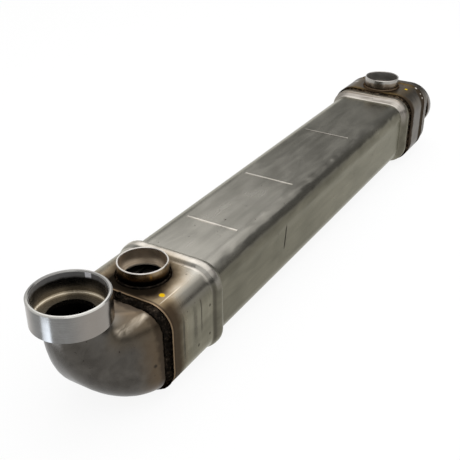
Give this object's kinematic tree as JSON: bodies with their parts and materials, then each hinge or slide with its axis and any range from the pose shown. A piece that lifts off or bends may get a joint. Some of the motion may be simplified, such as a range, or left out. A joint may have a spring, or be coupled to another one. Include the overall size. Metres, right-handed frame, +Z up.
{
  "type": "exhaust gas recirculation cooler",
  "caption": "Exhaust gas recirculation cooler: a long pressed stainless shell with coolant collars on top, an upturned gas elbow at one end and a gas hood at the other.",
  "frame": {"origin": "under the middle of the whole length, on the plane that the part stands on", "axes": "+X along the shell from the elbow to the hood, +Z up, out of the coolant collars"},
  "size_m": [0.8406, 0.1254, 0.1372],
  "materials": {
    "satin_steel": "satin, drawn lengthwise",
    "tinted_steel": "satin with brown heat tint",
    "drawn_steel": "matt, dulled by heat",
    "machined_steel": "turned",
    "tube_steel": "satin",
    "weld": "black scale"
  },
  "bodies": {
    "root": {"shell": "satin_steel", "port_band": "tinted_steel", "elbow_tube_plate": "satin_steel", "hood_tube_plate": "satin_steel", "elbow": "drawn_steel", "elbow_ring": "machined_steel", "hood": "tinted_steel", "hood_ring": "machined_steel", "elbow_collar": "machined_steel", "hood_collar": "machined_steel", "elbow_weld_bead": "weld", "band_weld_bead": "weld", "hood_weld_bead": "weld", "elbow_ring_weld_bead": "weld", "hood_ring_weld_bead": "weld", "elbow_collar_weld_bead": "weld", "hood_collar_weld_bead": "weld", "baffle_1": "satin_steel", "baffle_2": "satin_steel", "baffle_3": "satin_steel", "gas_tube_r1_c1": "tube_steel", "gas_tube_r1_c2": "tube_steel", "gas_tube_r1_c3": "tube_steel", "gas_tube_r2_c1": "tube_steel", "gas_tube_r2_c2": "tube_steel", "gas_tube_r2_c3": "tube_steel", "gas_tube_r3_c1": "tube_steel", "gas_tube_r3_c2": "tube_steel", "gas_tube_r3_c3": "tube_steel", "gas_tube_r4_c1": "tube_steel", "gas_tube_r4_c2": "tube_steel", "gas_tube_r4_c3": "tube_steel", "gas_tube_r5_c1": "tube_steel", "gas_tube_r5_c2": "tube_steel", "gas_tube_r5_c3": "tube_steel", "gas_tube_r6_c1": "tube_steel", "gas_tube_r6_c2": "tube_steel", "gas_tube_r6_c3": "tube_steel", "gas_tube_r7_c1": "tube_steel", "gas_tube_r7_c2": "tube_steel", "gas_tube_r7_c3": "tube_steel", "gas_tube_r8_c1": "tube_steel", "gas_tube_r8_c2": "tube_steel", "gas_tube_r8_c3": "tube_steel"}
  },
  "joints": []
}
